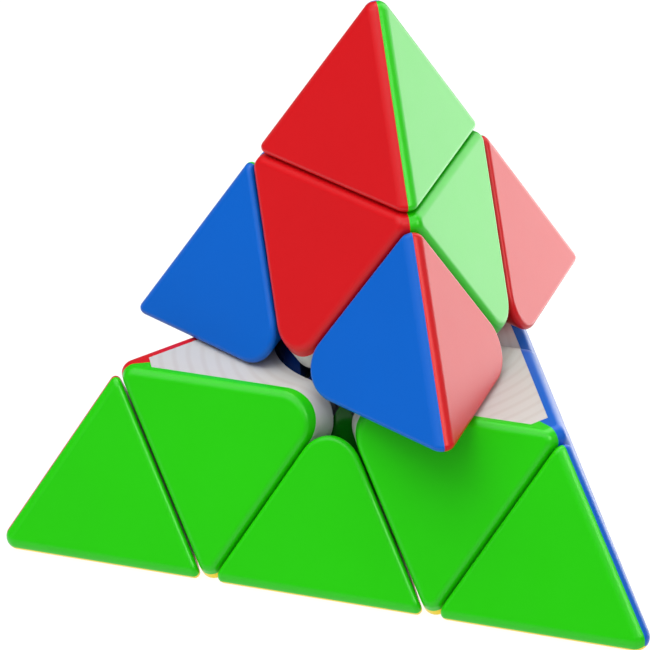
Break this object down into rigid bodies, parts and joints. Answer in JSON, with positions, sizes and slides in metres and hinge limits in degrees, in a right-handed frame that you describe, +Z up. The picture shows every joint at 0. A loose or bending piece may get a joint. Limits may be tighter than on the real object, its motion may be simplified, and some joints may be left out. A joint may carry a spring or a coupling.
{
  "type": "pyramid twisty puzzle",
  "caption": "Tetrahedral twisty puzzle with turning tips and a turning upper section, coloured caps on white axial pieces, captive edge pieces and a sprung screw core.",
  "frame": {"origin": "centre of the core, where the four turning axes cross", "axes": "+Z up along the upper section's turning axis to the top corner; -Y towards the face with the green lower section; the puzzle stands on the yellow face, in a plane below the origin"},
  "size_m": [0.0948, 0.0848, 0.0779],
  "materials": {
    "white_plastic": "moulded, satin",
    "green_plastic": "satin gloss",
    "red_plastic": "satin gloss",
    "blue_plastic": "satin gloss",
    "yellow_plastic": "satin gloss",
    "steel": "plated"
  },
  "bodies": {
    "lower_section": {"core": "white_plastic", "corner_screws": "steel", "corner_washers": "steel", "corner_springs": "steel", "axial_left_body": "white_plastic", "axial_left_cap_green": "green_plastic", "axial_left_cap_red": "red_plastic", "axial_left_cap_yellow": "yellow_plastic", "axial_right_body": "white_plastic", "axial_right_cap_green": "green_plastic", "axial_right_cap_blue": "blue_plastic", "axial_right_cap_yellow": "yellow_plastic", "axial_back_body": "white_plastic", "axial_back_cap_red": "red_plastic", "axial_back_cap_blue": "blue_plastic", "axial_back_cap_yellow": "yellow_plastic", "edge_base_front_foot": "green_plastic", "edge_base_front_half_green": "green_plastic", "edge_base_front_half_yellow": "yellow_plastic", "edge_base_right_foot": "blue_plastic", "edge_base_right_half_blue": "blue_plastic", "edge_base_right_half_yellow": "yellow_plastic", "edge_base_left_foot": "red_plastic", "edge_base_left_half_red": "red_plastic", "edge_base_left_half_yellow": "yellow_plastic"},
    "upper_section": {"axial_top_body": "white_plastic", "axial_top_cap_red": "red_plastic", "axial_top_cap_green": "green_plastic", "axial_top_cap_blue": "blue_plastic", "edge_upper_front_foot": "blue_plastic", "edge_upper_front_half_blue": "blue_plastic", "edge_upper_front_half_red": "red_plastic", "edge_upper_left_foot": "blue_plastic", "edge_upper_left_half_blue": "blue_plastic", "edge_upper_left_half_green": "green_plastic", "edge_upper_back_foot": "red_plastic", "edge_upper_back_half_red": "red_plastic", "edge_upper_back_half_green": "green_plastic"},
    "top_tip": {"tip_top_body": "white_plastic", "tip_top_cap_red": "red_plastic", "tip_top_cap_green": "green_plastic", "tip_top_cap_blue": "blue_plastic"},
    "left_tip": {"tip_left_body": "white_plastic", "tip_left_cap_green": "green_plastic", "tip_left_cap_red": "red_plastic", "tip_left_cap_yellow": "yellow_plastic"},
    "right_tip": {"tip_right_body": "white_plastic", "tip_right_cap_green": "green_plastic", "tip_right_cap_blue": "blue_plastic", "tip_right_cap_yellow": "yellow_plastic"},
    "back_tip": {"tip_back_body": "white_plastic", "tip_back_cap_red": "red_plastic", "tip_back_cap_blue": "blue_plastic", "tip_back_cap_yellow": "yellow_plastic"}
  },
  "joints": [
    {"name": "upper_section_turn", "type": "hinge", "parent": "lower_section", "child": "upper_section", "pos_m": [0, 0, 0], "axis": [0, 0, 1], "continuous": true},
    {"name": "top_tip_turn", "type": "hinge", "parent": "upper_section", "child": "top_tip", "pos_m": [0, 0, 0], "axis": [0, 0, 1], "continuous": true},
    {"name": "left_tip_turn", "type": "hinge", "parent": "lower_section", "child": "left_tip", "pos_m": [0, 0, 0], "axis": [-0.8165, -0.4714, -0.3333], "continuous": true},
    {"name": "right_tip_turn", "type": "hinge", "parent": "lower_section", "child": "right_tip", "pos_m": [0, 0, 0], "axis": [0.8165, -0.4714, -0.3333], "continuous": true},
    {"name": "back_tip_turn", "type": "hinge", "parent": "lower_section", "child": "back_tip", "pos_m": [0, 0, 0], "axis": [0, 0.9428, -0.3333], "continuous": true}
  ]
}
